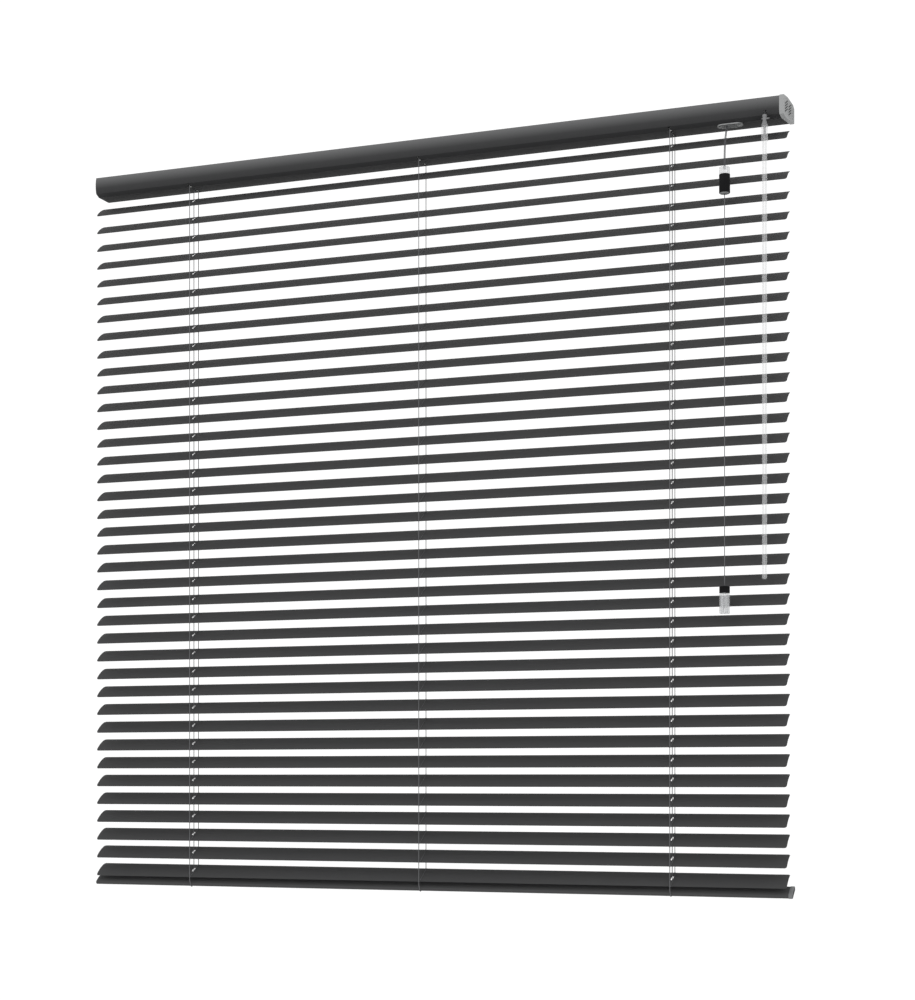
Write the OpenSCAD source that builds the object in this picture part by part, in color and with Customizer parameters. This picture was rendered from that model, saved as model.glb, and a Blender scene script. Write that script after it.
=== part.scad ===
// Venetian blind with 25 mm aluminium slats, tilted by a wand and lifted by cords.
// X runs along the blind, Y points to the window, Z is up. The origin is the middle of
// the two screw holes, on the top face of the mounting brackets.

/* [Blind] */
// Length of a slat
slat_l = 838; // [820:1:838]
// Number of slats
slat_count = 38; // [30:1:38]
// Height from one slat to the next
slat_pitch = 21.5; // [20.5:0.1:23]
// Tilt of the slats as drawn, front edge down
slat_tilt = 34; // [0:1:58]
// Distance of the outer ladders from the middle one
ladder_x = 292; // [280:1:295]

/* [Slat] */
// Width of a slat
slat_w = 25; // [23:0.1:25]
// Rise of the slat's curved section
slat_crown = 1.8; // [1:0.1:2]
// Thickness of the strip
slat_t = 0.25; // [0.2:0.01:0.3]
// Radius of the slat's corners
slat_corner_r = 2.6; // [1:0.1:5]

/* [Headrail] */
// Depth of the channel, without the bulge of its front
head_d = 29.2; // [29.2:0.1:32]
// Height of the channel
head_h = 22; // [22:0.1:24]
// Thickness of the channel's steel
head_t = 0.6; // [0.5:0.1:0.7]

/* [Bottom rail] */
// Width of the bottom rail
rail_w = 18; // [15:0.1:18]
// Thickness of the bottom rail at its rounded edges
rail_t = 4.8; // [4:0.1:4.8]

/* [Controls] */
// Diameter of the wand
wand_d = 5.4; // [4.5:0.1:6]
// Height from the headrail's top down to the wand's tip
wand_tip = 512; // [300:1:700]
// Diameter of the cords
cord_d = 0.9; // [0.8:0.1:1]

/* [Mounting] */
// Distance between the two bracket screws
bracket_spacing = 660; // [600:10:660]
// Diameter of the bracket's screw hole
bracket_hole_d = 4.5; // [4:0.1:5]

/* [Hidden] */
function slat_name(i) = str("slat_", i < 10 ? "0" : "", i);

$fn = 48;
gap = 0.05;                 // between pieces that are fixed to each other
cut = 1;                    // how far a cut runs past the face that it opens
steel = "#46474a";
plastic = "#b4b6b8";

// Places of the ladders and of the parts along the headrail
ladders = [-ladder_x, 0, ladder_x];
lift_ladders = [-ladder_x, ladder_x];
lock_x = 357;
wand_x = 397;
cord_x = 354.5;

// Brackets
bracket_t = 1.5;
bracket_w = 22;
bracket_front = 10.2;
bracket_grip = 2.6;         // how far its front edge reaches under the channel's lip
bracket_skirt = 9;

// Headrail, measured down from its top edge
head_top = -bracket_t;
head_floor = head_top - head_h;
head_left = 416.5;
head_right = 412.3;         // at the front edge
head_bulge = 1.4;
head_lip = 3.5;
head_nose_h = 2.8;          // how far the front ends above the floor
head_nose_d = 6;            // how far back the underside's slope runs
head_slant = 5.2;           // the right end runs out by this much towards the window
head_skew = head_slant / head_d;
cap_t = 4.7;
cap_skirt = 0.6;

// Slats
slat_drop = 37;             // from the headrail's top edge to the first slat
slat_arc_r = (pow(slat_w / 2, 2) + pow(slat_crown, 2)) / (2 * slat_crown);
route_l = 7;
route_w = 2.2;
first_z = head_top - slat_drop;
last_z = first_z - (slat_count - 1) * slat_pitch;
rail_z = last_z - 12.3;

// Bottom rail, measured both ways from the middle of the ladders
rail_left = 420.6;
rail_right = 420.4;
rail_cap_t = 4.1;
rail_cap_proud = 0.35;     // how far the right cap stands out around the rail
rail_wall = 0.5;
rail_crown = 0.5;
rail_nose_u = rail_w / 2 - rail_t / 2;

// Ladder strings: each meets every slat at the same point of the slat's section
string_d = 0.9;
string_u = 13.5;
string_v = -slat_crown / 2;
function tilted(u, v) = [u * cos(slat_tilt) - v * sin(slat_tilt),
                         u * sin(slat_tilt) + v * cos(slat_tilt)];
front_end = tilted(-string_u, string_v);
rear_end = tilted(string_u, string_v);
front_string_top = head_top - 17.8;
rear_string_top = head_top - 3.5;
string_end = 2.1;           // how far a string runs below its last slat

// Tilt rod, drums and cradles
rod_z = head_top - 11;
rod_r = 3;
rod_play = 0.08;
rod_left = -ladder_x - 16;
rod_right = 404;
drum_core_r = 4.5;
drum_flange_r = 5.2;
drum_half = 5;
journal_r = 4;
journal_end = 11;
bearing_r = 4.1;
cradle_wall_x = 7.5;
cradle_wall_t = 2;
cradle_base_t = 1.2;
cradle_half_d = 13.6;
cradle_arm = 8;
cradle_top = head_top - 4.5;
floor_top = head_floor + head_t + gap;
cord_run_z = floor_top + cradle_base_t + 1.1;

// Tilter: the worm's shaft leans forward and ends in a ball that carries the wand
wheel_r = 6.1;
wheel_teeth = 12;
wheel_w = 6;
worm_r = 3.1;
worm_core_r = 2.2;
worm_l = 8.4;
worm_turns = 3;
mesh_play = 0.2;
ball_y = -18;
ball_z = head_top - 21.45;
ball_r = 1.5;
shaft_r = 0.95;
shaft_slot = 2.6;           // width of the notch in the channel's corner
shaft_reach = norm([ball_y, ball_z - rod_z]);
shaft_offset = wheel_r + worm_r + mesh_play;
shaft_lean = 90 - atan2(rod_z - ball_z, -ball_y) - asin(shaft_offset / shaft_reach);
shaft_l = sqrt(pow(shaft_reach, 2) - pow(shaft_offset, 2));

// Hook and wand, measured down from the ball
hook_r = 2.45;
hook_socket_r = 1.8;
hook_slot_w = 2.4;          // lets the shaft through while the hook swings
hook_pin_r = 1.2;
hook_pin = 9;
hook_neck_r = 1.9;
hook_neck = 2.6;
hook_cone = 4.8;
hook_base_r = 3.55;
hook_base = 9.6;
collar_r = 3.65;
collar_l = 17.4;
collar_ring = 11.4;

// Cord lock
lock_w = 29;
lock_front = -13.7;
lock_back = -3.4;
lock_top = head_top - 5;
lock_foot = 3.4;            // how far the lower part reaches back, under the tilt rod
lock_step = head_top - 15.8;
bezel_l = 27.7;
bezel_d = 13.4;
bezel_y = -4.4;
bezel_t = 1.1;
mouth_l = 16;
mouth_d = 6;
roller_r = 2;
roller_l = 12;
roller_z = head_top - 12;
roller_y = -9.2;

// Pieces on the pull cord, by the heights of their ends
cord_y = -20.5;
connector_top = head_top - 71.5;
connector_seam = head_top - 79.5;
connector_rim = head_top - 99.3;
connector_end = head_top - 99.9;
connector_r = 5.9;
tassel_top = head_top - 518.6;
tassel_seam = head_top - 526;
tassel_end = head_top - 547.8;
tassel_r = 5.8;

// Routes of the cords
upper_route = [[0, -6.5, -24.7], [0, -7.8, -26.5], [0, -10.6, -30], [0, -13.5, -34.5],
               [0, -16.5, -41], [0, -18.8, -49], [0, -20.1, -58], [0, -20.5, -66], [0, -20.5, -74.5]];
lower_route = [[354.5, -20.5, -101.4], [354.5, -20.5, -150], [354.5, -20.5, -200], [354.5, -20.5, -250],
               [354.5, -20.5, -300], [354.5, -20.5, -350], [354.5, -20.5, -400], [354.5, -20.5, -450],
               [354.5, -20.5, -500], [354.5, -20.5, -520.1]];
left_lift_route = [[-292, 0, rail_z + 6.4], [-292, 0, -21.9], [-291.2, 0.2, -20.9], [-289.6, 0.5, -20.6],
                   [-281, 3, -20.6], [306, 3, -20.6], [334, -6, -20.6], [343.7, -6, -20.6]];
right_lift_route = [[292, 0, rail_z + 6.4], [292, 0, -21.9], [292.8, -0.2, -20.9], [294.4, -0.5, -20.6],
                    [304, -3, -20.6], [334, -9, -20.6], [343.7, -9, -20.6]];

// ---- helpers -------------------------------------------------------------------

// Extrudes a section, drawn in Y and Z, along X and centred on it
module along_x(l) {
    rotate([90, 0, 90]) linear_extrude(height = l, center = true) children();
}

// A cylinder along X
module rod_x(r, l) {
    rotate([0, 90, 0]) cylinder(r = r, h = l, center = true);
}

// A block between two corners
module block(low, high) {
    translate(low) cube(high - low);
}

// A slot with round ends along Y, cut through the height
module slot_y(l, w, h) {
    linear_extrude(height = h, center = true) {
        square([w, l - w], center = true);
        for (s = [-1, 1]) translate([0, s * (l - w) / 2]) circle(d = w);
    }
}

// Places a piece at the middle of a section that turns with the slats
module at_tilt(x, z) {
    translate([x, 0, z]) rotate([slat_tilt, 0, 0]) children();
}

function unit(v) = v / norm(v);
function heading(p, i) =
    let (before = unit(p[max(i, 1)] - p[max(i, 1) - 1]),
         after = unit(p[min(i + 1, len(p) - 1)] - p[min(i, len(p) - 2)]))
    unit(before + after);
function across(h) = unit(cross(h, abs(h.x) < 0.9 ? [1, 0, 0] : [0, 1, 0]));

// A round cord swept along its route, with one ring of points at each place
module cord(route, d, sides = 8) {
    rings = [for (i = [0:len(route) - 1])
        let (h = heading(route, i), a = across(h), b = cross(h, a))
        for (k = [0:sides - 1])
            route[i] + d / 2 * (cos(360 * k / sides) * a + sin(360 * k / sides) * b)];
    last = (len(route) - 1) * sides;
    walls = [for (i = [0:len(route) - 2]) for (k = [0:sides - 1])
        let (n = (k + 1) % sides, low = i * sides, high = low + sides)
        each [[low + k, high + k, high + n], [low + k, high + n, low + n]]];
    ends = [[for (k = [0:sides - 1]) k], [for (k = [sides - 1:-1:0]) last + k]];
    polyhedron(points = rings, faces = concat(walls, ends), convexity = 4);
}

// ---- slats ----------------------------------------------------------------------

// Height of the slat's middle line above its turning point, at a distance from the middle
function slat_height(u) = sqrt(pow(slat_arc_r, 2) - u * u) - slat_arc_r + slat_crown / 2;

module slat_section() {
    steps = 12;
    us = [for (k = [0:steps]) slat_w * (k / steps - 0.5)];
    polygon(concat([for (u = us) [u, slat_height(u) + slat_t / 2]],
                   [for (k = [steps:-1:0]) [us[k], slat_height(us[k]) - slat_t / 2]]));
}

module slat(i) {
    corner = slat_corner_r;
    color(steel) at_tilt(0, first_z - (i - 1) * slat_pitch) difference() {
        intersection() {
            along_x(slat_l) slat_section();
            linear_extrude(height = 6, center = true) {
                square([slat_l - 2 * corner, slat_w], center = true);
                square([slat_l, slat_w - 2 * corner], center = true);
                for (x = [-1, 1], y = [-1, 1])
                    translate([x * (slat_l / 2 - corner), y * (slat_w / 2 - corner)]) circle(corner);
            }
        }
        for (x = lift_ladders) translate([x, 0, 0]) slot_y(route_l, route_w, 6);
    }
}

// ---- headrail --------------------------------------------------------------------

// Outline of the channel: bulged front, sloping lower front, square back
module head_outline(t) {
    front_h = head_h - head_nose_h;
    bulge_r = (pow(front_h / 2, 2) + pow(head_bulge, 2)) / (2 * head_bulge);
    half = head_d / 2 - t;
    translate([0, head_top]) difference() {
        intersection() {
            translate([-head_d / 2 - head_bulge, -head_h + t])
                square([head_d / 2 + head_bulge + half, head_h - 2 * t]);
            translate([bulge_r - head_d / 2 - head_bulge, -front_h / 2]) circle(bulge_r - t, $fn = 180);
        }
        polygon([[-half - 4, -front_h + t], [-half, -front_h + t], [-half + head_nose_d, -head_h + t],
                 [-half + head_nose_d, -head_h - 4], [-half - 4, -head_h - 4]]);
    }
}

module headrail() {
    lip_open = head_d / 2 - head_t - head_lip;
    color(steel) difference() {
        translate([(head_right + head_slant - head_left) / 2, 0, 0])
            along_x(head_left + head_right + head_slant) difference() {
                head_outline(0);
                head_outline(head_t);
                translate([-lip_open, head_top - head_t - gap]) square([2 * lip_open, head_t + cut]);
            }
        right_end_cut(head_right);
        for (x = ladders, s = [-1, 1])
            translate([x, 0, 0]) ladder_slot(s);
        for (x = lift_ladders) translate([x, 0, head_floor]) cylinder(r = 1.6, h = 4, center = true);
        translate([lock_x, bezel_y, head_floor]) cube([mouth_l + 4, mouth_d + 2, 5], center = true);
        block([wand_x - shaft_slot / 2, -20, head_floor - cut],
              [wand_x + shaft_slot / 2, -11.5, head_top - 14.4]);
    }
}

// The opening in the floor that a ladder string swings through
module ladder_slot(s) {
    inner = 5.2;
    outer = 14.1;
    block([-1.3, min(s * inner, s * outer), head_floor - cut],
          [1.3, max(s * inner, s * outer), head_floor + head_nose_h + head_t + 0.1]);
}

// Everything beyond the slanting right end, from its place at the front edge
module right_end_cut(front_x) {
    back = head_d / 2 + cut;
    front = head_d / 2 + head_bulge + cut;
    shift = head_d / 2 - front;
    translate([0, 0, head_floor - cut]) linear_extrude(height = head_h + 2 * cut)
        polygon([[front_x + shift * head_skew, -front],
                 [front_x + (head_d / 2 + back) * head_skew, back],
                 [front_x + 40, back], [front_x + 40, -front]]);
}

module headrail_end_caps() {
    mid = head_right + head_slant / 2;
    color(plastic) {
        // right cap: a plate on the slanting end, with ribs on its outer face
        difference() {
            translate([mid, 0, 0]) along_x(40) head_outline(-cap_skirt);
            right_end_cut(head_right + cap_t);
            channel_side();
            translate([head_right, 0, head_top]) along_x(60)
                polygon([[-4, cap_skirt], [12, -3.3], [head_d / 2 + 1, -7], [head_d / 2 + 1, 5], [-4, 5]]);
            right_cap_slots();
        }
        right_cap_pips();
        // left cap: a plug inside the channel
        translate([-head_left + 2, 0, 0]) along_x(3) offset(delta = -gap) head_outline(head_t);
    }
}

// Space on the channel's side of its slanting end
module channel_side() {
    side = head_d / 2 + 3;
    translate([0, 0, head_floor - 3]) linear_extrude(height = head_h + 6)
        polygon([[head_right - 60, -side],
                 [head_right + gap + (head_d / 2 - side) * head_skew, -side],
                 [head_right + gap + (head_d / 2 + side) * head_skew, side],
                 [head_right - 60, side]]);
}

// Puts X square to the slanting outer face of the right cap, from a height below the top
module on_right_cap(y, down) {
    face_x = head_right + cap_t + (y + head_d / 2) * head_skew;
    translate([face_x, y, head_top - down]) rotate([0, 0, -atan(head_skew)]) children();
}

// Slanting slots in the upper part of the outer face
module right_cap_slots() {
    for (column = [0, 1], k = [0:3])
        on_right_cap(-7.6 + 10 * column, 5.8 + 2.8 * k + 1.2 * column) rotate([32, 0, 0])
            cube([3.6, 9.4, 1.3], center = true);
}

// Four small pips beside the rear edge
module right_cap_pips() {
    for (k = [0:3])
        on_right_cap(11.4, 8.6 + 3.2 * k) cube([0.9, 1.2, 1.4], center = true);
}

// ---- mounting brackets ------------------------------------------------------------

// A steel plate over the channel, whose turned edges grip the channel's lips
module mounting_brackets() {
    lip_under = head_top - head_t - gap;
    bracket_back = head_d / 2 + gap + bracket_t;
    color("#8d9094") for (s = [-1, 1]) translate([s * bracket_spacing / 2, 0, 0]) difference() {
        union() {
            block([-bracket_w / 2, -bracket_front, head_top + gap], [bracket_w / 2, bracket_back, 0]);
            block([-bracket_w / 2, -bracket_front, lip_under - bracket_t],
                  [bracket_w / 2, -bracket_front + bracket_t, -bracket_t / 2]);
            block([-bracket_w / 2, -bracket_front - bracket_grip, lip_under - bracket_t],
                  [bracket_w / 2, -bracket_front + bracket_t, lip_under - gap]);
            block([-bracket_w / 2, bracket_back - bracket_t, head_top - bracket_skirt],
                  [bracket_w / 2, bracket_back, -bracket_t / 2]);
        }
        translate([0, 0, -bracket_t / 2]) cylinder(d = bracket_hole_d, h = 3 * bracket_t, center = true);
    }
}

// ---- tilt rod, drums, cradles --------------------------------------------------------

module tilt_rod() {
    color("#9a9da0") translate([(rod_left + rod_right) / 2, 0, rod_z])
        rotate([0, 90, 0]) cylinder(r = rod_r, h = rod_right - rod_left, center = true, $fn = 6);
}

module hex_bore(l) {
    rotate([0, 90, 0]) cylinder(r = rod_r + rod_play, h = l, center = true, $fn = 6);
}

module ladder_drums() {
    color("white") for (x = ladders) translate([x, 0, rod_z]) difference() {
        union() {
            rod_x(drum_core_r, 2 * drum_half);
            rod_x(journal_r, 2 * journal_end);
            for (s = [-1, 1]) translate([s * (drum_half - 0.6), 0, 0]) rod_x(drum_flange_r, 1.2);
        }
        hex_bore(2 * journal_end + cut);
    }
}

module drum_cradles() {
    wall_mid = cradle_wall_x + cradle_wall_t / 2;
    base_half = cradle_wall_x + cradle_wall_t;
    nose = head_nose_d + 1.4;
    color("white") for (x = ladders) translate([x, 0, 0]) difference() {
        union() {
            block([-base_half, -cradle_half_d + nose, floor_top],
                  [base_half, cradle_half_d, floor_top + cradle_base_t]);
            for (s = [-1, 1]) translate([s * wall_mid - cradle_wall_t / 2, 0, 0])
                block([0, -cradle_arm, floor_top], [cradle_wall_t, cradle_arm, cradle_top]);
        }
        translate([0, 0, rod_z]) rod_x(bearing_r, 40);
        block([-40, -5, floor_top + cradle_base_t], [40, 5, cord_run_z + 1.2]);
        for (s = [-1, 1]) ladder_slot_clear(s);
        cylinder(r = 1.6, h = 200, center = true);
    }
}

module ladder_slot_clear(s) {
    block([-1.3, min(s * 5.2, s * 15), head_floor - cut], [1.3, max(s * 5.2, s * 15), floor_top + 3]);
}

// ---- tilter ------------------------------------------------------------------------------

// Puts Z along the worm's shaft, from its upper end down to the ball at z = shaft_l
module worm_axis() {
    translate([wand_x, ball_y, ball_z]) rotate([-shaft_lean, 0, 0]) rotate([180, 0, 0])
        translate([0, 0, -shaft_l]) children();
}

module worm_wheel() {
    root_r = wheel_r - 1.3;
    color("#e8e8e4") translate([wand_x, 0, rod_z]) difference() {
        union() {
            rod_x(root_r, wheel_w);
            for (k = [0:wheel_teeth - 1]) rotate([360 * k / wheel_teeth, 0, 0])
                along_x(wheel_w) polygon([[-1, root_r - 0.4], [-0.45, wheel_r], [0.45, wheel_r],
                                          [1, root_r - 0.4]]);
        }
        hex_bore(wheel_w + cut);
    }
}

module worm_screw() {
    color("#e8e8e4") worm_axis() {
        translate([0, 0, -worm_l / 2]) cylinder(r = worm_core_r, h = worm_l);
        worm_thread();
        translate([0, 0, -worm_l / 2 - 0.8]) cylinder(r = shaft_r, h = shaft_l + worm_l / 2 + 0.8);
        translate([0, 0, shaft_l]) sphere(ball_r);
    }
}

// A right-handed thread wound round the worm's core
module worm_thread() {
    steps = 16;
    pitch = (worm_l - 2) / worm_turns;
    section = [[worm_core_r - 0.3, -0.8], [worm_r, -0.35], [worm_r, 0.35], [worm_core_r - 0.3, 0.8]];
    count = worm_turns * steps;
    rings = [for (i = [0:count]) let (a = 360 * i / steps, rise = pitch * (i / steps - worm_turns / 2))
        for (p = section) [p.x * cos(a), p.x * sin(a), p.y - rise]];
    walls = [for (i = [0:count - 1]) for (k = [0:3])
        let (n = (k + 1) % 4, low = 4 * i, high = low + 4)
        each [[low + k, low + n, high + n], [low + k, high + n, high + k]]];
    polyhedron(points = rings, faces = concat(walls, [[3, 2, 1, 0], [for (k = [0:3]) 4 * count + k]]),
               convexity = 6);
}

module tilter_housing() {
    half = 9.5;
    wall = 1.8;
    back = 8.5;
    front = 13.3;
    top = head_top - 2.2;
    color("#e8e8e4") translate([wand_x, 0, 0]) difference() {
        intersection() {
            block([-half, -front, floor_top], [half, back, top]);
            along_x(40) offset(delta = -gap) head_outline(head_t);
        }
        block([-half + wall, -front + wall, floor_top + wall], [half - wall, back - wall, 0]);
        translate([0, 0, rod_z]) rod_x(rod_r + 0.5, 40);
        translate([-wand_x, 0, 0]) worm_axis() {
            cylinder(r = 1.4, h = shaft_l);
            translate([0, 0, -worm_l / 2 - 1]) cylinder(r = worm_r + 0.35, h = worm_l + 2);
        }
    }
}

// ---- wand --------------------------------------------------------------------------------

// A socket round the shaft's ball, a neck with a small lug, and a cone
module wand_hook() {
    color("#8f9194") translate([wand_x, ball_y, ball_z]) {
        difference() {
            union() {
                sphere(hook_r);
                translate([0, 0, -hook_cone]) cylinder(r = hook_neck_r, h = hook_cone - 1);
                translate([0, 0, -hook_neck]) rotate([0, 90, 0]) cylinder(r1 = 1.2, r2 = 0.5, h = 5.2);
                translate([0, 0, -hook_neck]) rotate([0, -90, 0]) cylinder(r1 = 1.2, r2 = 0.6, h = 3.1);
            }
            sphere(hook_socket_r);
            along_x(hook_slot_w) polygon([[0, 0], [-4.6, 5], [-4.6, 6], [9, 6], [9, 3.2]]);
        }
        translate([0, 0, -hook_base])
            cylinder(r1 = hook_base_r, r2 = hook_neck_r, h = hook_base - hook_cone);
        translate([0, 0, -hook_base - hook_pin]) cylinder(r = hook_pin_r, h = hook_pin + 1);
    }
}

module tilt_wand() {
    top = -hook_base - gap;
    bore = hook_pin_r + 0.08;
    tip = head_top - wand_tip - ball_z;
    color("#d9dde0") translate([wand_x, ball_y, ball_z]) rotate_extrude() polygon([
        [0, top - hook_pin - 0.3], [bore, top - hook_pin - 0.3], [bore, top],
        [collar_r - 0.4, top], [collar_r, top - 0.5],
        [collar_r, top - 3.5], [collar_r - 0.3, top - 5.2], [collar_r, top - 8.5],
        [collar_r, top - collar_ring], [collar_r - 0.3, top - collar_ring - 0.3],
        [collar_r - 0.3, top - collar_ring - 0.9], [collar_r, top - collar_ring - 1.2],
        [collar_r, top - collar_l + 1.2], [collar_r - 0.6, top - collar_l],
        [wand_d / 2, top - collar_l], [wand_d / 2, tip + 1], [wand_d / 2 - 1, tip], [0, tip]]);
}

// ---- cord lock ----------------------------------------------------------------------------

module cord_lock_body() {
    wall = 1.6;
    left = lock_x - lock_w / 2;
    right = lock_x + lock_w / 2;
    color("#a9acae") difference() {
        union() {
            intersection() {
                union() {
                    block([left, lock_front, floor_top], [right, lock_back, lock_top]);
                    block([left, lock_front, floor_top], [right, lock_foot, lock_step]);
                }
                translate([lock_x, 0, 0]) along_x(40) offset(delta = -gap) head_outline(head_t);
            }
            translate([lock_x, bezel_y, head_floor - gap - bezel_t / 2]) bezel_plate(bezel_l, bezel_d, bezel_t);
            for (s = [-1, 1]) translate([lock_x + s * 10.9, bezel_y, head_floor - gap - bezel_t - 0.5])
                cylinder(r = s > 0 ? 2.2 : 1.6, h = 1);
            translate([lock_x, bezel_y, head_floor]) cube([mouth_l + 3.8, mouth_d + 1.8, 3], center = true);
        }
        block([left + wall, lock_front + wall, floor_top + wall], [right - wall, lock_back - wall, 0]);
        block([left + wall, lock_front + wall, floor_top + wall],
              [right - wall, lock_foot - wall, lock_step - wall]);
        translate([lock_x, bezel_y, head_floor]) cube([mouth_l, mouth_d, 14], center = true);
        translate([lock_x, roller_y, roller_z]) rod_x(1.1, 60);
        for (y = [-6, -9]) translate([left, y, -20.6]) rod_x(cord_d / 2 + 0.4, 2.4);
    }
}

module bezel_plate(l, d, t) {
    linear_extrude(height = t, center = true) {
        square([l - d, d], center = true);
        for (s = [-1, 1]) translate([s * (l - d) / 2, 0]) circle(d = d);
    }
}

module cord_lock_roller() {
    color("#77797c") translate([lock_x, roller_y, roller_z]) {
        rod_x(1.02, lock_w - 0.4);
        rod_x(roller_r, roller_l);
    }
}

// ---- cords and the pieces on them ---------------------------------------------------------------

module lift_cords() {
    color("#3a3b3d") {
        cord(left_lift_route, cord_d);
        cord(right_lift_route, cord_d);
    }
}

module pull_cord() {
    color("#3a3b3d") {
        for (s = [-1, 1]) translate([cord_x + s * 0.55, 0, 0]) cord(upper_route, cord_d);
        cord(lower_route, cord_d);
    }
}

module cord_connector() {
    bore = 1.4;
    color("#1c1d1f") translate([cord_x, cord_y, 0]) {
        rotate_extrude() polygon([
            [bore, connector_top], [connector_r - 0.8, connector_top], [connector_r, connector_top - 0.8],
            [connector_r, connector_seam + gap], [0, connector_seam + gap], [0, connector_seam + 6],
            [bore, connector_seam + 6]]);
        rotate_extrude() polygon([
            [0, connector_seam], [connector_r, connector_seam], [connector_r, connector_rim],
            [connector_r - 0.7, connector_rim], [connector_r - 0.9, connector_end], [0, connector_end]]);
    }
}

module cord_tassel() {
    color("#c8cbce") translate([cord_x, cord_y, 0]) {
        rotate_extrude() polygon([
            [0, tassel_top], [tassel_r - 0.9, tassel_top], [tassel_r - 0.1, tassel_top - 0.8],
            [tassel_r - 0.1, tassel_seam + gap], [0, tassel_seam + gap]]);
        rotate_extrude() polygon([
            [0, tassel_seam], [tassel_r - 0.2, tassel_seam], [tassel_r, tassel_end + 1.5],
            [tassel_r - 1.2, tassel_end], [0, tassel_end]]);
    }
}

// ---- ladder strings ---------------------------------------------------------------------------------

module ladder_strings(place, top) {
    foot = last_z + place.y - string_end;
    color("#3a3b3d") for (x = ladders)
        translate([x, place.x, foot]) cylinder(d = string_d, h = top - foot, $fn = 16);
}

// ---- bottom rail ------------------------------------------------------------------------------------------

// The rail's section: round edges, flat below, slightly crowned above
module rail_section(t) {
    steps = 8;
    r = rail_t / 2 - t;
    for (s = [-1, 1]) translate([s * rail_nose_u, 0]) circle(r);
    polygon(concat([[-rail_nose_u, -r], [rail_nose_u, -r]],
                   [for (k = [steps:-1:0])
                       let (u = rail_nose_u * (2 * k / steps - 1))
                       [u, r + rail_crown * (1 - pow(u / rail_nose_u, 2))]]));
}

module bottom_rail() {
    color(steel) at_tilt((rail_right - rail_left) / 2, rail_z) difference() {
        along_x(rail_left + rail_right) difference() {
            rail_section(0);
            rail_section(rail_wall);
        }
        for (x = ladders) translate([x - (rail_right - rail_left) / 2, 0, -rail_t / 2])
            cylinder(r = 2.6, h = 2 * rail_wall + 0.4, center = true);
    }
}

module bottom_rail_caps() {
    color(plastic) at_tilt(0, rail_z) {
        translate([rail_right + gap + rail_cap_t / 2, 0, 0]) difference() {
            along_x(rail_cap_t) rail_section(-rail_cap_proud);
            translate([rail_cap_t / 2, 0, 0]) along_x(5) rail_section(0.5);
        }
        translate([rail_right - 1.4, 0, 0]) along_x(3.2) rail_section(rail_wall + gap);
        translate([-rail_left + 1.5, 0, 0]) along_x(3) rail_section(rail_wall + gap);
    }
}

// Plugs pressed into the rail's underside, one at each ladder
module bottom_rail_plugs() {
    color("#5a5c5f") at_tilt(0, rail_z) for (x = ladders) translate([x, 0, -rail_t / 2]) {
        translate([0, 0, -0.9]) cylinder(r = 3.6, h = 0.85);
        translate([0, 0, -0.4]) cylinder(r = 2.5, h = 2);
    }
}

// ---- the blind ----------------------------------------------------------------------------------------------

headrail();
headrail_end_caps();
mounting_brackets();
drum_cradles();
tilter_housing();
cord_lock_body();
lift_cords();
tilt_rod();
ladder_drums();
worm_wheel();
worm_screw();
wand_hook();
tilt_wand();
cord_lock_roller();
pull_cord();
cord_connector();
cord_tassel();
ladder_strings(front_end, front_string_top);  // front_ladder_strings
ladder_strings(rear_end, rear_string_top);  // rear_ladder_strings
bottom_rail();
bottom_rail_caps();
bottom_rail_plugs();
for (i = [1:slat_count])
    slat(i);
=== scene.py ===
import bpy, bmesh, math
from mathutils import Matrix, Vector


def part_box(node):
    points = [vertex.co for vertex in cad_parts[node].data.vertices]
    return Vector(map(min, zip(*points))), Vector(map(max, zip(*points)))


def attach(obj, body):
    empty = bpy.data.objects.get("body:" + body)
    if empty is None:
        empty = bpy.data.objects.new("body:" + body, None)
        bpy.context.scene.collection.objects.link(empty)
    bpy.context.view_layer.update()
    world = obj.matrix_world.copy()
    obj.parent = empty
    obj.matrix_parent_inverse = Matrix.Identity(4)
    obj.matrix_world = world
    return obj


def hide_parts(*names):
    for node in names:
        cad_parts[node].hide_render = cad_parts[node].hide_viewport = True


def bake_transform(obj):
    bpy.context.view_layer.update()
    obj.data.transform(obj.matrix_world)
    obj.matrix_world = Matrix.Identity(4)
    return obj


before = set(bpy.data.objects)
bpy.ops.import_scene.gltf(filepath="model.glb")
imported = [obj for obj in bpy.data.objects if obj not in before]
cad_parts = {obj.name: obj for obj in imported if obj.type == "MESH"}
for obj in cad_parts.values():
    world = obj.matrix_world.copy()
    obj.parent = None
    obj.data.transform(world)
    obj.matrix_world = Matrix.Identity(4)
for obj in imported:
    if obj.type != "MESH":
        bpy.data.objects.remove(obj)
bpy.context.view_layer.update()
mm = 0.001
print("frame loaded:", len(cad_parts), "nodes")

# Camera: level, to the right of the blind and low down, so the frame is shifted up

view = {"place": (0.8283, -2.1008, -0.7249), "turn": 20.5, "lens": 71.4, "shift": 0.2785}

cameraData = bpy.data.cameras.new("camera")
cameraData.lens, cameraData.sensor_width, cameraData.shift_y = view["lens"], 36, view["shift"]
cameraData.clip_start, cameraData.clip_end = 0.05, 60
camera = bpy.data.objects.new("camera", cameraData)
camera.location = view["place"]
camera.rotation_euler = (math.radians(90), 0, math.radians(view["turn"]))
bpy.context.scene.collection.objects.link(camera)
bpy.context.scene.camera = camera


# Shapes

def meshPiece(name, points, faces, smooth=True):
    mesh = bpy.data.meshes.new(name)
    mesh.from_pydata([tuple(p) for p in points], [], faces)
    mesh.update()
    bm = bmesh.new()
    bm.from_mesh(mesh)
    bmesh.ops.remove_doubles(bm, verts=bm.verts, dist=1e-7)
    bmesh.ops.recalc_face_normals(bm, faces=bm.faces)
    bm.to_mesh(mesh)
    bm.free()
    for face in mesh.polygons:
        face.use_smooth = smooth
    piece = bpy.data.objects.new(name, mesh)
    bpy.context.scene.collection.objects.link(piece)
    return piece


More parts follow.
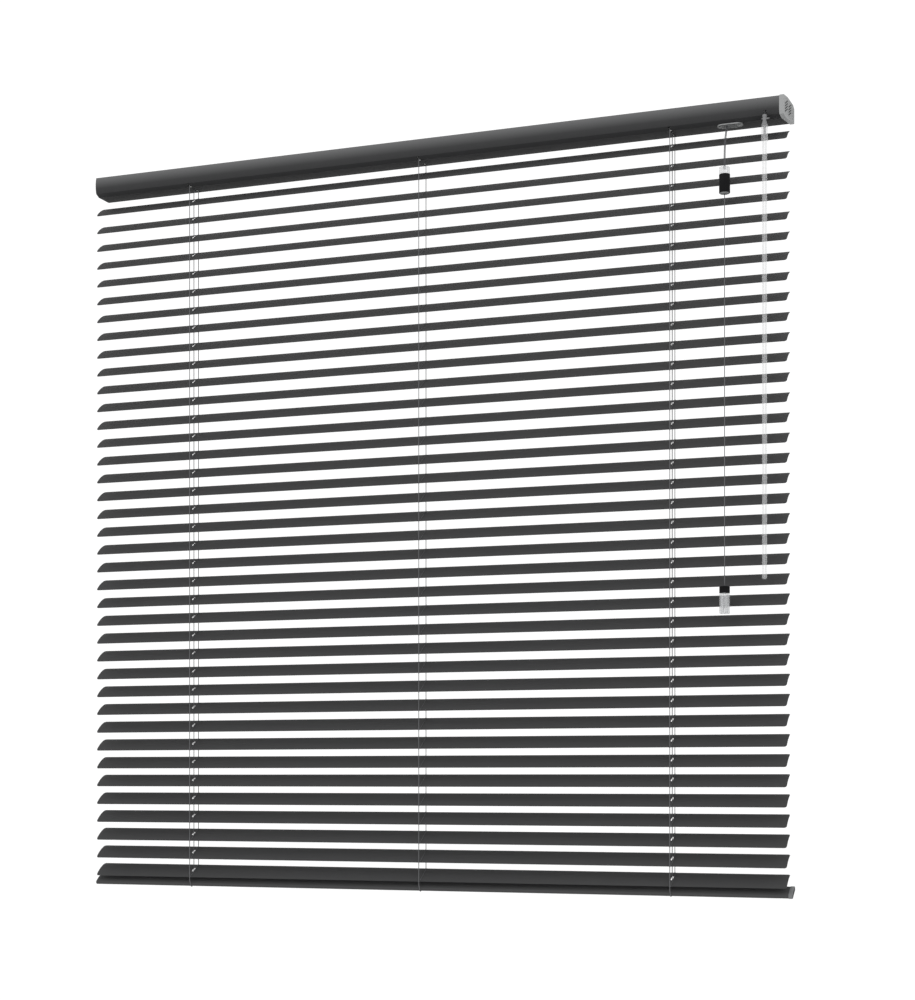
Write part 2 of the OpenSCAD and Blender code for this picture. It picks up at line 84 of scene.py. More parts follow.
def sharpen(piece, angle=35):  # smooth shading that breaks at corners
    for face in piece.data.polygons:
        face.use_smooth = True
    piece.data.set_sharp_from_angle(angle=math.radians(angle))
    return piece


def joined(name, pieces):  # several pieces made one object
    for piece in pieces:
        piece.data.transform(piece.matrix_world)
        piece.matrix_world = Matrix.Identity(4)
    bm = bmesh.new()
    for piece in pieces:
        bm.from_mesh(piece.data)
        bpy.data.objects.remove(piece)
    mesh = bpy.data.meshes.new(name)
    bm.to_mesh(mesh)
    bm.free()
    whole = bpy.data.objects.new(name, mesh)
    bpy.context.scene.collection.objects.link(whole)
    return whole


def turned(name, outline, centre, sides=40):  # outline of (radius, height) turned about a vertical line
    points, faces = [], []
    for radius, height in outline:
        for k in range(sides):
            a = 2 * math.pi * k / sides
            points.append((centre[0] + radius * math.cos(a), centre[1] + radius * math.sin(a), height))
    for i in range(len(outline) - 1):
        for k in range(sides):
            n = (k + 1) % sides
            faces.append((i * sides + k, i * sides + n, (i + 1) * sides + n, (i + 1) * sides + k))
    return sharpen(meshPiece(name, points, faces), 30)


def smoothRoute(points, step):  # even points on a smooth curve through the given ones
    ends = [points[0] * 2 - points[1]] + list(points) + [points[-1] * 2 - points[-2]]
    route = []
    for i in range(1, len(ends) - 2):
        a, b, c, d = ends[i - 1:i + 3]
        count = max(1, round((c - b).length / step))
        for k in range(count):
            t = k / count
            route.append(0.5 * ((2 * b) + (c - a) * t + (2 * a - 5 * b + 4 * c - d) * t * t
                                + (3 * b - a - 3 * c + d) * t ** 3))
    return route + [points[-1].copy()]


def rope(name, route, radius, sides=10, lumps=0.0, lumpEvery=3):  # a tube along a route, with small lumps
    points, faces = [], []
    side = None
    for i, p in enumerate(route):
        ahead = (route[min(i + 1, len(route) - 1)] - route[max(i - 1, 0)]).normalized()
        if side is None:
            side = ahead.cross(Vector((0.3, 1, 0.2))).normalized()
        side = (side - ahead * side.dot(ahead)).normalized()
        up = ahead.cross(side)
        for k in range(sides):
            a = 2 * math.pi * k / sides
            r = radius * (1 - lumps * (0.5 + 0.5 * math.cos(2 * math.pi * i / lumpEvery + 2 * a)))
            points.append(p + side * math.cos(a) * r + up * math.sin(a) * r)
    for i in range(len(route) - 1):
        for k in range(sides):
            n = (k + 1) % sides
            faces.append((i * sides + k, i * sides + n, (i + 1) * sides + n, (i + 1) * sides + k))
    last = (len(route) - 1) * sides
    faces.append(tuple(range(sides - 1, -1, -1)))
    faces.append(tuple(last + k for k in range(sides)))
    return meshPiece(name, points, faces)


# Materials

class Wire:  # one value in a material, which can be used in sums
    def __init__(self, paint, socket):
        self.paint, self.socket = paint, socket

    def sum(self, operation, first, second):
        return self.paint.node("ShaderNodeMath", {"operation": operation}, {0: first, 1: second})

    def __add__(self, other): return self.sum("ADD", self, other)
    def __radd__(self, other): return self.sum("ADD", other, self)
    def __sub__(self, other): return self.sum("SUBTRACT", self, other)
    def __rsub__(self, other): return self.sum("SUBTRACT", other, self)
    def __mul__(self, other): return self.sum("MULTIPLY", self, other)
    def __truediv__(self, other): return self.sum("DIVIDE", self, other)


class Paint:  # a material and the nodes in it
    def __init__(self, name):
        self.material = bpy.data.materials.new(name)
        self.material.use_nodes = True
        self.tree = self.material.node_tree
        self.tree.nodes.clear()

    def node(self, kind, settings=None, values=None, out=0):
        made = self.tree.nodes.new(kind)
        for key, value in (settings or {}).items():
            if key == "stops":
                ramp = made.color_ramp.elements
                while len(ramp) < len(value):
                    ramp.new(0.5)
                for stop, (place, shade) in zip(ramp, value):
                    stop.position, stop.color = place, (shade, shade, shade, 1)
            else:
                setattr(made, key, value)
        for key, value in (values or {}).items():
            if isinstance(value, Wire):
                self.tree.links.new(value.socket, made.inputs[key])
            else:
                made.inputs[key].default_value = value
        return Wire(self, made.outputs[out])

    def place(self, stretch=(1, 1, 1)):  # a spot on the piece, scaled
        spot = self.node("ShaderNodeTexCoord", out="Object")
        return self.node("ShaderNodeMapping", {}, {"Vector": spot, "Scale": stretch})

    def noise(self, scale, detail=3, stretch=(1, 1, 1), rough=0.55):
        return self.node("ShaderNodeTexNoise", {}, {"Vector": self.place(stretch), "Scale": scale,
                                                   "Detail": detail, "Roughness": rough}, "Fac")

    def mixed(self, amount, first, second):  # from the first colour to the second
        return self.node("ShaderNodeMix", {"data_type": "RGBA"}, {"Factor": amount, 6: first, 7: second}, 2)

    def bands(self, value, stops):
        return self.node("ShaderNodeValToRGB", {"stops": stops}, {"Fac": value})

    def edgeHighlight(self):  # 1 on sharp outer edges, used to paint a highlight there
        point = self.node("ShaderNodeNewGeometry", out="Pointiness")
        return self.bands(point, [(0.52, 0), (0.6, 1)])

    def bump(self, height, strength, depth):
        return self.node("ShaderNodeBump", {}, {"Height": height, "Strength": strength, "Distance": depth})

    def finish(self, values):
        surface = self.node("ShaderNodeBsdfPrincipled", {}, values)
        output = self.tree.nodes.new("ShaderNodeOutputMaterial")
        self.tree.links.new(surface.socket, output.inputs["Surface"])
        return self.material


def rgb(r, g, b):
    return (r, g, b, 1)


def enamel(name, dark, light, gloss, shine, grain=900, paintedTopLight=None):  # baked paint on metal strip, with an optional painted highlight growing towards the top of the piece
    paint = Paint(name)
    mottle = paint.noise(60, 4)
    rolled = paint.noise(16, 3, (0.15, 1, 1))  # long faint marks from the rolls
    speckle = paint.noise(grain, 2)
    shade = mottle * 0.35 + rolled * 0.35 + speckle * 0.3
    colour = paint.mixed(paint.bands(shade, [(0.3, 0), (0.7, 1)]), dark, light)
    if paintedTopLight:  # painted highlight: the colour grows lighter towards the top of the piece, in place of light falling from above
        low, high, lit = paintedTopLight
        height = paint.node("ShaderNodeSeparateXYZ", {}, {"Vector": paint.place()}, "Z")
        topLightMask = paint.bands((height - low) / (high - low), [(0, 0), (0.4, 0.10), (1, 1)])
        colour = paint.mixed(topLightMask, colour, lit)
    return paint.finish({
        "Base Color": colour, "Roughness": gloss + (mottle - 0.5) * 0.14 + (speckle - 0.5) * 0.08,
        "Specular IOR Level": shine,
        "Normal": paint.bump(speckle * 0.7 + rolled * 0.3, 0.12, 0.00004)})


def moulding(name, dark, light, rough, shine=0.5, texture=1400, depth=0.00003):  # moulded plastic
    paint = Paint(name)
    cloud = paint.noise(45, 3)
    fine = paint.noise(texture, 2)
    flow = paint.noise(25, 2, (1, 1, 0.2))
    colour = paint.mixed(cloud * 0.5 + flow * 0.5, dark, light)
    # painted highlight: sharp outer edges are lightened, in place of the light they catch
    edgeLit = paint.mixed(paint.edgeHighlight() * 0.3, colour, rgb(*[min(1, c * 1.5 + 0.02) for c in light[:3]]))
    return paint.finish({
        "Base Color": edgeLit, "Roughness": rough + (cloud - 0.5) * 0.12 + (fine - 0.5) * 0.06,
        "Specular IOR Level": shine,
        "Normal": paint.bump(fine * 0.6 + flow * 0.4, 0.15, depth)})


def clearPlastic(name, centre, dark, light, solid, shadeStripes):  # see-through, with dark stripes painted round its axis: painted shade in place of the darker edges a clear part shows
    paint = Paint(name)
    spot = paint.place()
    east = paint.node("ShaderNodeSeparateXYZ", {}, {"Vector": spot}, "X") - centre[0]
    north = paint.node("ShaderNodeSeparateXYZ", {}, {"Vector": spot}, "Y") - centre[1]
    around = paint.node("ShaderNodeMath", {"operation": "ARCTAN2"}, {0: north, 1: east})
    wave = paint.node("ShaderNodeMath", {"operation": "COSINE"}, {0: around * shadeStripes})
    # painted shade: darker, less see-through stripes at fixed angles round the axis
    line = paint.bands(wave * 0.5 + 0.5, [(0.72, 0), (0.98, 1)])
    cloud = paint.noise(120, 3, (1, 1, 0.3))
    return paint.finish({
        "Base Color": paint.mixed(line * 0.8, light, dark),
        "Alpha": solid + line * 0.2 + (cloud - 0.5) * 0.12,
        "Roughness": 0.12 + (cloud - 0.5) * 0.1, "Specular IOR Level": 0.5,
        "Normal": paint.bump(cloud, 0.1, 0.00003)})


def bareMetal(name, dark, light, rough, along):  # plated or drawn steel, with its grain along one axis
    paint = Paint(name)
    grain = paint.noise(700, 3, along)
    bloom = paint.noise(90, 3)
    colour = paint.mixed(grain * 0.5 + bloom * 0.5, dark, light)
    return paint.finish({
        "Base Color": colour, "Metallic": 1 - paint.bands(bloom, [(0.62, 0), (0.8, 1)]) * 0.25,
        "Roughness": rough + (grain - 0.5) * 0.2 + (bloom - 0.5) * 0.1,
        "Normal": paint.bump(grain, 0.15, 0.00003)})


def braid(name, dark, light, pitch):  # plaited polyester cord
    paint = Paint(name)
    wave = paint.node("ShaderNodeTexWave", {"wave_type": "BANDS", "bands_direction": "DIAGONAL"},
                      {"Vector": paint.place(), "Scale": 1 / pitch, "Distortion": 1.5, "Detail": 2}, "Fac")
    lint = paint.noise(1800, 3)
    colour = paint.mixed(wave * 0.25 + lint * 0.75, dark, light)
    return paint.finish({
        "Base Color": colour, "Roughness": 0.8 + (lint - 0.5) * 0.2, "Specular IOR Level": 0.2,
        "Normal": paint.bump(wave * 0.7 + lint * 0.3, 0.25, 0.00006)})


finishes = {
    "slats": enamel("slat enamel", rgb(0.046, 0.0462, 0.047), rgb(0.053, 0.0532, 0.054), 0.6, 0.06),
    # a darker copy of the slat enamel: painted shade for the slats' curved long edges
    "slatEdgeShade": enamel("slat edge painted shade", rgb(0.014, 0.0141, 0.0145), rgb(0.019, 0.0191, 0.0195), 0.65, 0.05),
    # the headrail's colour turns lighter towards its top: a painted highlight standing in for light from
    # above
    "headPaintAndTopLight": enamel("headrail enamel with painted top light",
                        rgb(0.026, 0.0262, 0.027), rgb(0.032, 0.0322, 0.033), 0.6, 0.05, 700,
                        (-0.0235, -0.0015, rgb(0.125, 0.126, 0.128))),
    "rails": enamel("rail enamel", rgb(0.050, 0.0502, 0.051), rgb(0.058, 0.0582, 0.059), 0.6, 0.06, 700),
    "greyMoulding": moulding("light grey moulding",
                             rgb(0.185, 0.19, 0.19), rgb(0.25, 0.255, 0.255), 0.5, 0.3),
    "whiteMoulding": moulding("white moulding", rgb(0.60, 0.60, 0.57), rgb(0.72, 0.72, 0.69), 0.42),
    "hookMoulding": moulding("hook moulding", rgb(0.13, 0.132, 0.135), rgb(0.19, 0.192, 0.195), 0.4, 0.35),
    "capMoulding": moulding("rail cap moulding",
                            rgb(0.085, 0.087, 0.089), rgb(0.13, 0.132, 0.134), 0.45, 0.3),
    "darkMoulding": moulding("dark moulding",
                             rgb(0.022, 0.022, 0.024), rgb(0.034, 0.034, 0.036), 0.5, 0.15),
    "blackMoulding": moulding("black moulding",
                              rgb(0.0025, 0.0025, 0.003), rgb(0.005, 0.005, 0.0055), 0.5, 0.05),
    # the darker colour of each clear finish is the painted shade of its stripes
    "clearRod": clearPlastic("clear rod",
                             (0.397, -0.018), rgb(0.16, 0.163, 0.166), rgb(0.74, 0.745, 0.75), 0.22, 6),
    "clearMoulding": clearPlastic("clear moulding",
                                  (0.3545, -0.0205), rgb(0.30, 0.305, 0.31), rgb(0.62, 0.63, 0.64),
                                  0.34, 8),
    "plated": bareMetal("zinc plate", rgb(0.48, 0.49, 0.50), rgb(0.64, 0.65, 0.66), 0.36, (1, 1, 1)),
    "drawnBar": bareMetal("drawn bar", rgb(0.42, 0.43, 0.44), rgb(0.58, 0.59, 0.60), 0.30, (0.03, 1, 1)),
    "ladderBraid": braid("ladder braid", rgb(0.085, 0.086, 0.090), rgb(0.135, 0.137, 0.142), 0.0009),
    "cordBraid": braid("cord braid", rgb(0.055, 0.056, 0.060), rgb(0.095, 0.097, 0.102), 0.0014),
}
print("finishes made:", len(finishes))


def dress(piece, finish):
    piece.data.materials.clear()
    piece.data.materials.append(finishes[finish])
    return piece


def place(piece, body, finish, slot):  # finish a new piece and hang it on its body
    dress(piece, finish)
    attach(piece, body)
    return piece


# Pull cord, connector and tassel

pull = {"x": 354.5, "thick": 0.9, "apart": 0.55, "lumps": 0.05}
upperRoute = [(0, -6.5, -24.7), (0, -7.8, -26.5), (0, -10.6, -30), (0, -13.5, -34.5), (0, -16.5, -41),
              (0, -18.8, -49), (0, -20.1, -58), (0, -20.5, -66), (0, -20.5, -74.5)]
lowerRoute = [(354.5, -20.5, -101.4), (354.5, -20.5, -150), (354.5, -20.5, -200), (354.5, -20.5, -250),
              (354.5, -20.5, -300), (354.5, -20.5, -350), (354.5, -20.5, -400), (354.5, -20.5, -450),
              (354.5, -20.5, -500), (354.5, -20.5, -520.1)]


def routeLength(route):
    return sum((b - a).length for a, b in zip(route, route[1:]))


connectorBox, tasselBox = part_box("cord_connector"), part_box("cord_tassel")
cordCentre = (connectorBox[0] + connectorBox[1]) / 2
connector = {"r": (connectorBox[1].x - connectorBox[0].x) / 2, "top": connectorBox[1].z,
             "foot": connectorBox[0].z, "seam": 8.0 * mm, "bore": 1.4 * mm, "rim": 0.6 * mm}
tassel = {"r": (tasselBox[1].x - tasselBox[0].x) / 2, "top": tasselBox[1].z, "foot": tasselBox[0].z,
          "cap": 7.4 * mm, "knot": 3, "tail": 12.8, "tailThick": 1.24}
core = 0.0002  # radius at which a turned outline is taken as closed


def connectorPieces(c):
    seam, rim = c["top"] - c["seam"], c["foot"] + c["rim"]
    r = c["r"]
    bell = turned("connector_bell", [
        (c["bore"], seam + 5.7 * mm), (c["bore"], c["top"]), (r * 0.80, c["top"]),
        (r * 0.93, c["top"] - 0.4 * mm),
        (r * 0.98, c["top"] - 1.2 * mm), (r * 0.94, c["top"] - 2.4 * mm), (r * 0.94, c["top"] - 3.0 * mm),
        (r * 0.99, c["top"] - 3.8 * mm), (r * 0.99, seam + 0.1 * mm), (core, seam + 0.1 * mm),
        (core, seam + 5.7 * mm), (c["bore"], seam + 5.7 * mm)], cordCentre)
    sleeve = turned("connector_sleeve", [
        (core, seam), (r * 0.97, seam), (r, seam - 0.4 * mm), (r, rim + 0.4 * mm),
        (r * 0.985, rim + 0.1 * mm), (core, rim + 0.1 * mm)], cordCentre, 56)
    ring = turned("connector_ring", [
        (core, rim), (r * 0.88, rim), (r * 0.86, c["foot"] + 0.1 * mm), (r * 0.80, c["foot"]),
        (core, c["foot"])], cordCentre)
    place(bell, "pull_cord_unit", "clearMoulding", "smoke_plastic")
    place(sleeve, "pull_cord_unit", "blackMoulding", "black_plastic")
    place(ring, "pull_cord_unit", "greyMoulding", "smoke_plastic")
    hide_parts("cord_connector")
    return [bell, sleeve, ring]


def tasselPieces(t):
    seam, r = t["top"] - t["cap"], t["r"]
    cap = turned("tassel_cap", [
        (core, t["top"]), (r * 0.90, t["top"]), (r * 0.965, t["top"] - 0.4 * mm),
        (r * 0.975, t["top"] - 1.2 * mm), (r * 0.975, seam + 0.6 * mm), (r * 0.95, seam + 0.2 * mm),
        (core, seam + 0.2 * mm)], cordCentre)
    bell = turned("tassel_bell", [
        (core, seam), (r * 0.94, seam), (r * 0.955, seam - 3 * mm), (r * 0.97, seam - 12 * mm),
        (r, t["foot"] + 2.2 * mm), (r * 0.985, t["foot"] + 0.9 * mm), (r * 0.90, t["foot"] + 0.15 * mm),
        (r * 0.80, t["foot"]), (r * 0.74, t["foot"] + 1.0 * mm), (r * 0.70, seam - 2.5 * mm),
        (core, seam - 2 * mm)],
        cordCentre)
    tailRoute = [cordCentre.copy() for _ in range(9)]
    for i, p in enumerate(tailRoute):
        p.z = seam - (t["knot"] + t["tail"] * i / 8) * mm
    tail = rope("tassel_tail", tailRoute, t["tailThick"] / 2 * mm, 10, 0.1)
    place(cap, "pull_cord_unit", "blackMoulding", "black_plastic")
    place(bell, "pull_cord_unit", "clearMoulding", "smoke_plastic")
    place(tail, "pull_cord_unit", "cordBraid", "dark_cord")
    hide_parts("cord_tassel")
    return [cap, bell, tail]


def pullCords(p, onConnector, onTassel):
    radius = p["thick"] / 2 * mm
    cords = []
    for side in (-1, 1):
        strand = [Vector((p["x"] + side * p["apart"], y, z)) * mm for _, y, z in upperRoute]
        route = smoothRoute(strand, 1.1 * mm)
        cord = rope("upper_cord_" + ("left" if side < 0 else "right"), route, radius, 10, p["lumps"], 2)
        place(cord, "pull_cord_unit", "cordBraid", "dark_cord")
        routeLength(route)
        cords.append(cord)
    route = smoothRoute([Vector(q) * mm for q in lowerRoute], 2.2 * mm)
    cord = rope("lower_cord", route, radius, 10, p["lumps"], 2)
    place(cord, "pull_cord_unit", "ladderBraid", "dark_cord")
    routeLength(route)
    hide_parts("pull_cord")
    return cords + [cord]


pullCords(pull, connectorPieces(connector), tasselPieces(tassel))
print("pull cord made")

# Slats

slats = {"long": 838, "wide": 25, "crown": 1.8, "thick": 0.25, "corner": 2.6, "tilt": 34, "across": 9,
         "ladder": 292, "holeLong": 7, "holeWide": 2.2, "count": 38, "pitch": 21.5, "edge": 0.8,
         "lip": 0.55}
rungs = {"reach": 13.5, "thread": 0.22, "bow": 1.6, "apart": 1.0}
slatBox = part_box("slat_01")
firstSlat = (slatBox[0].z + slatBox[1].z) / 2
arcRadius = ((slats["wide"] / 2) ** 2 + slats["crown"] ** 2) / (2 * slats["crown"])
tiltMatrix = Matrix.Rotation(math.radians(slats["tilt"]), 4, "X")
ladderPlaces = (-slats["ladder"], 0, slats["ladder"])
liftPlaces = (-slats["ladder"], slats["ladder"])


def slatHeight(u):
    return math.sqrt(arcRadius ** 2 - u * u) - arcRadius + slats["crown"] / 2


def slatColumns(s):  # (place along the slat, edge, half of the hole) for each column of points
    columns = []
    half, r = s["long"] / 2, s["corner"]
    for k in range(7):
        a = math.radians(90 * k / 6)
        columns.append((-half + r - r * math.cos(a), s["wide"] / 2 - r + r * math.sin(a), 0))
    spans = [-half + r, -s["ladder"], s["ladder"], half - r]
    for centre in liftPlaces:
        for k in range(9):
            a = math.radians(-90 + 180 * k / 8)
            dx = s["holeWide"] / 2 * math.sin(a)
            reach = (s["holeLong"] - s["holeWide"]) / 2 + s["holeWide"] / 2 * math.cos(a)
            columns.append((centre + dx, s["wide"] / 2, reach))
        columns.append((centre - s["holeWide"] / 2 - 0.02, s["wide"] / 2, 0))
        columns.append((centre + s["holeWide"] / 2 + 0.02, s["wide"] / 2, 0))
    for a, b in zip(spans, spans[1:]):
        for k in range(1, 5):
            columns.append((a + (b - a) * k / 5, s["wide"] / 2, 0))
    for k in range(7):
        a = math.radians(90 * k / 6)
        columns.append((half - r + r * math.sin(a), s["wide"] / 2 - r + r * math.cos(a), 0))
    return sorted(columns)


def slatSheet(s):  # the curved strip, lying level about its turning line
    points, faces = [], []
    n = s["across"]
    rows = 2 * (n + 1)
    columns = slatColumns(s)
    for face in (1, -1):
        for x, edge, hole in columns:
            for side in (-1, 1):
                for k in range(n + 1):
                    inner = s["edge"] + (edge - s["edge"] - hole) * (k - 1) / (n - 1)
                    u = side * (edge - (inner if k else 0))
                    skin = face * s["thick"] / 2 * (1 if k else s["lip"])  # the strip thins at its edges
                    points.append(Vector((x, u, slatHeight(u) + skin)) * mm)
    layer = len(columns) * rows
    for i in range(len(columns) - 1):
        for side in (0, 1):
            for k in range(n):
                a = i * rows + side * (n + 1) + k
                for lift in (0, layer):
                    faces.append((lift + a, lift + a + 1, lift + a + rows + 1, lift + a + rows))
            for k in (0, n):  # walls at the long edges and round the holes
                a = i * rows + side * (n + 1) + k
                if k == 0 or columns[i][2] or columns[i + 1][2]:
                    faces.append((a, a + rows, layer + a + rows, layer + a))
    for i in (0, len(columns) - 1):
        for side in (0, 1):
            for k in range(n):
                a = i * rows + side * (n + 1) + k
                faces.append((a, a + 1, layer + a + 1, layer + a))
    return points, faces


def slatName(i):
    return "slat_%02d" % i


def ladderRungs(s, r):  # two threads at each ladder: one under the slat, one over it
    pieces = []
    reach, thread, low = r["reach"], r["thread"], -s["crown"] / 2
    for x in ladderPlaces:
        under, over = [], []
        for k in range(13):
            bow = r["apart"] / 2 + r["bow"] * math.sin(math.pi * k / 12)
            under.append(Vector((x - bow, -reach + 2 * reach * k / 12, low - s["thick"] / 2 - thread)) * mm)
        for k in range(17):
            bow = r["apart"] / 2 + r["bow"] * math.sin(math.pi * k / 16)
            u = -reach + 2 * reach * k / 16
            edge = min(abs(u), s["wide"] / 2)
            over.append(Vector((x + bow, u, slatHeight(edge) + s["thick"] / 2 + thread * 0.9)) * mm)
        for route in (under, over):
            pieces.append(rope("rung", route, thread * mm, 6, 0.1))
    return joined("rungs", pieces)


def makeSlats(s, r):
    points, faces = slatSheet(s)
    strip = sharpen(meshPiece("strip", points, faces), 50)
    for face in strip.data.polygons:  # the outermost band of each long edge takes the darker finish, a painted shade along the curved edges
        face.material_index = 1 if abs(face.center.y) > (s["wide"] / 2 - s["edge"]) * mm else 0
    rungSet = ladderRungs(s, r)
    for i in range(1, s["count"] + 1):
        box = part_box(slatName(i))
        centre = Vector((0, 0, (box[0].z + box[1].z) / 2 - middleRise))
        for pattern, name, finish, slot in ((strip, "strip_%02d", "slats", "slat_paint"),
                                            (rungSet, "rungs_%02d", "ladderBraid", "dark_cord")):
            mesh = pattern.data.copy()
            mesh.transform(Matrix.Translation(centre) @ tiltMatrix)
            piece = bpy.data.objects.new(name % i, mesh)
            bpy.context.scene.collection.objects.link(piece)
            place(piece, slatName(i) + "_body", finish, slot)
            if finish == "slats":
                piece.data.materials.append(finishes["slatEdgeShade"])
                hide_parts(slatName(i))
    for pattern in (strip, rungSet):
        bpy.data.objects.remove(pattern)


headFoot, firstDrop = -1.5, 37
firstLine = headFoot - firstDrop  # the first slat's turning line
middleRise = firstSlat - firstLine * mm  # how far a slat's middle is above its turning line
makeSlats(slats, rungs)
print("slats made:", slats["count"])

# Ladder strings, their tails and the lift cords

strings = {"thick": 0.9, "lumps": 0.0}
rail = {"wide": 18, "thick": 4.8, "under": 12.3, "plug": 3.6}
lastLine = firstLine - (slats["count"] - 1) * slats["pitch"]
railLine = lastLine - rail["under"]
tilt = math.radians(slats["tilt"])


def tilted(u, v, line):  # a point of a tilted section, in millimetres
    return (u * math.cos(tilt) - v * math.sin(tilt), line + u * math.sin(tilt) + v * math.cos(tilt))


def makeStrings(s):
    for node, body in (("front_ladder_strings", "front_strings"), ("rear_ladder_strings", "rear_strings")):
        low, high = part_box(node)
        y = (low.y + high.y) / 2
        pieces = []
        for x in ladderPlaces:
            count = round((high.z - low.z) / (2.4 * mm))
            route = [Vector((x * mm, y, high.z + (low.z - high.z) * k / count)) for k in range(count + 1)]
            pieces.append(rope("string", route, s["thick"] / 2 * mm, 6, s["lumps"], 2))
        whole = joined(body + "_braid", pieces)
        place(whole, body, "ladderBraid", "dark_cord")
        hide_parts(node)


def makeTails(s, r):  # each string runs on round the rail's edge to the plug below it
    half, drop = r["wide"] / 2, r["thick"] / 2
    nose, clear = half - drop, drop + s["thick"] / 2 + 0.02
    for side, body, node in ((-1, "front_strings", "front_ladder_strings"),
                             (1, "rear_strings", "rear_ladder_strings")):
        low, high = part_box(node)
        y = (low.y + high.y) / 2 / mm
        foot = low.z / mm
        wrap = []
        for k in range(7):
            a = math.radians(-15 - 75 * k / 6)
            wrap.append(tilted(side * (nose + clear * math.cos(a)), clear * math.sin(a), railLine))
        inward = r["plug"] - 0.4 - nose
        under = [tilted(side * (nose + inward * k / 4), -clear, railLine) for k in range(1, 5)]
        start = (y, foot + 1.2)
        first = wrap[0]
        path = [start, (y + (first[0] - y) * 0.12, foot - (foot - first[1]) * 0.25),
                (y + (first[0] - y) * 0.55, foot - (foot - first[1]) * 0.62)] + wrap + under
        for x, where in zip(ladderPlaces, ("left", "middle", "right")):
            route = smoothRoute([Vector((x, py, pz)) * mm for py, pz in path], 0.6 * mm)
            name = "tail_%s_%s" % (body[:5].strip("_"), where)
            tail = rope(name, route, s["thick"] / 2 * mm, 8, s["lumps"], 2)
            dress(tail, "ladderBraid")
            first[0] * mm
            first[1] * mm
            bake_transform(tail)


lift = {"thick": 0.9, "lumps": 0.05, "stubTop": 5.2, "stubFoot": 3.0}
leftLiftRoute = [(-292, 0, railLine + 6.4), (-292, 0, -21.9), (-291.2, 0.2, -20.9), (-289.6, 0.5, -20.6),
                 (-281, 3, -20.6), (306, 3, -20.6), (334, -6, -20.6), (343.7, -6, -20.6)]
rightLiftRoute = [(292, 0, railLine + 6.4), (292, 0, -21.9), (292.8, -0.2, -20.9), (294.4, -0.5, -20.6),
                  (304, -3, -20.6), (334, -9, -20.6), (343.7, -9, -20.6)]


def straightRoute(points, step):
    route = []
    for a, b in zip(points, points[1:]):
        count = max(1, round((b - a).length / step))
        route += [a + (b - a) * k / count for k in range(count)]
    return route + [points[-1]]


def makeLiftCords(c):
    pieces = []
    for corners in (leftLiftRoute, rightLiftRoute):
        route = straightRoute([Vector(p) * mm for p in corners], 3 * mm)
        pieces.append(rope("lift", route, c["thick"] / 2 * mm, 8, c["lumps"], 2))
    whole = joined("lift_cord_braid", pieces)
    place(whole, "headrail_unit", "cordBraid", "dark_cord")
    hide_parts("lift_cords")
    stubs = []
    for x in liftPlaces:  # the last of each cord, down to its knot under the rail
        ends = [Vector((x, 0, railLine + c[end])) * mm for end in ("stubTop", "stubFoot")]
        stubs.append(rope("stub", straightRoute(ends, 0.6 * mm), c["thick"] / 2 * mm, 8, c["lumps"], 2))
    place(joined("lift_cord_ends", stubs), "bottom_rail_unit", "cordBraid", "dark_cord")


wound = {"r": 4.8, "long": 3.2, "turns": 2.5, "perTurn": 24}


def makeDrumTurns(s, w):  # the strings' last turns round each drum
    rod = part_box("tilt_rod")
    rodHeight = (rod[0].z + rod[1].z) / 2
    count = round(w["turns"] * w["perTurn"])
    pieces = []
    for x in ladderPlaces:
        route = []
        for k in range(count + 1):
            a = 2 * math.pi * k / w["perTurn"]
            along = x - w["long"] / 2 + w["long"] * k / count
            spot = Vector((along * mm, w["r"] * mm * math.cos(a), rodHeight + w["r"] * mm * math.sin(a)))
            route.append(spot)
        pieces.append(rope("turn", route, s["thick"] / 2 * mm, 6, s["lumps"], 2))
    place(joined("drum_turns", pieces), "tilt_rod_unit", "ladderBraid", "dark_cord")


makeStrings(strings)
makeTails(strings, rail)
makeLiftCords(lift)
makeDrumTurns(strings, wound)
print("strings and lift cords made")

# Finishes for the parts that keep their CAD shape

kept = {
    "headrail": "headPaintAndTopLight", "bottom_rail": "rails", "headrail_end_caps": "greyMoulding",
    "bottom_rail_caps": "capMoulding", "mounting_brackets": "plated", "drum_cradles": "whiteMoulding",
    "tilter_housing": "whiteMoulding", "cord_lock_body": "greyMoulding", "tilt_rod": "drawnBar",
    "ladder_drums": "whiteMoulding", "worm_wheel": "whiteMoulding", "worm_screw": "darkMoulding",
    "wand_hook": "hookMoulding", "tilt_wand": "clearRod", "cord_lock_roller": "plated",
    "bottom_rail_plugs": "darkMoulding"}
for node, finish in kept.items():
    dress(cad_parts[node], finish)
print("kept parts dressed:", len(kept))

# A dark sheet of painted shade on the cord lock's bezel, between its rim, its mouth and its two bosses, in
# place of the shade inside the bezel

bezel = {"x": 357, "y": -4.4, "long": 27.7, "deep": 13.4, "rim": 1.1, "mouthLong": 16, "mouthDeep": 6,
         "face": -24.65, "under": 0.06, "over": 0.02, "sides": 64, "bend": 0.35}


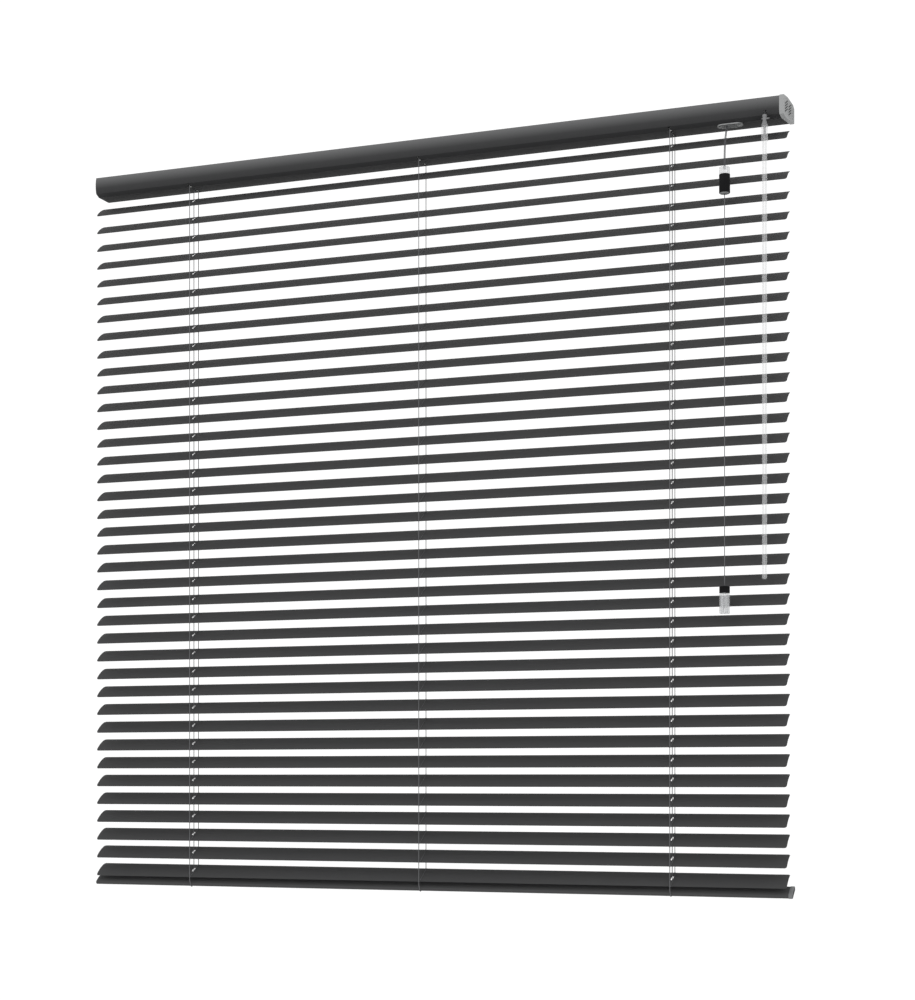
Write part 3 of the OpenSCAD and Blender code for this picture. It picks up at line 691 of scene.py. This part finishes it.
def makeBezelShade(b):
    straight, r = (b["long"] - b["deep"]) / 2, b["deep"] / 2 - b["rim"]
    points, faces = [], []
    sides = b["sides"]
    layer = 2 * sides
    for level in (b["face"] - b["under"], b["face"] + b["over"]):
        for k in range(sides):
            a = 2 * math.pi * (k + 0.5) / sides
            east, north = math.cos(a), math.sin(a)
            side = math.copysign(straight, east) if abs(east) > b["bend"] else straight * east / b["bend"]
            inner = min(b["mouthLong"] / 2 / abs(east), b["mouthDeep"] / 2 / abs(north))
            points.append(Vector((b["x"] + side + r * east, b["y"] + r * north, level)) * mm)
            points.append(Vector((b["x"] + inner * east, b["y"] + inner * north, level)) * mm)
    for k in range(sides):
        a, n = 2 * k, 2 * ((k + 1) % sides)
        for start in (0, layer):
            faces.append((start + a, start + a + 1, start + n + 1, start + n))
        faces.append((a, n, layer + n, layer + a))
        faces.append((a + 1, n + 1, layer + n + 1, layer + a + 1))
    # painted shade: a thin black sheet laid at the bezel's face
    place(meshPiece("bezel_painted_shade", points, faces, False), "headrail_unit", "blackMoulding", "black_plastic")


makeBezelShade(bezel)
print("bezel made")

# Floor and light

studio = {"floor": -1.25, "wide": 28, "sky": 1.08, "key": 14, "fill": 4}


def makeFloor(s):
    half = s["wide"] / 2
    corners = [(x * half, y * half, s["floor"]) for x, y in ((-1, -1), (1, -1), (1, 1), (-1, 1))]
    floor = meshPiece("floor", corners, [(0, 1, 2, 3)], False)
    paint = Paint("pale floor")
    dust = paint.noise(3, 2)
    floor.data.materials.append(paint.finish({
        "Base Color": paint.mixed(dust, rgb(0.95, 0.95, 0.95), rgb(0.97, 0.97, 0.97)), "Roughness": 0.9}))


def softbox(name, place, aim, size, power):
    data = bpy.data.lights.new(name, "AREA")
    data.shape, data.size, data.size_y, data.energy = "RECTANGLE", size[0], size[1], power
    lamp = bpy.data.objects.new(name, data)
    lamp.location = place
    lamp.rotation_euler = (Vector(aim) - Vector(place)).to_track_quat("-Z", "Y").to_euler()
    bpy.context.scene.collection.objects.link(lamp)


def makeLight(s):
    world = bpy.data.worlds.new("studio")
    world.use_nodes = True
    sky = world.node_tree.nodes["Background"]
    sky.inputs["Color"].default_value, sky.inputs["Strength"].default_value = (1, 1, 1, 1), s["sky"]
    bpy.context.scene.world = world
    softbox("key", (-0.9, -2.2, 1.5), (0, 0, -0.3), (1.6, 1.6), s["key"])
    softbox("fill", (1.8, -1.6, 0.3), (0.2, 0, -0.4), (1.2, 1.6), s["fill"])


makeFloor(studio)
makeLight(studio)
bpy.context.scene.view_settings.view_transform = "Standard"
print("stage made")
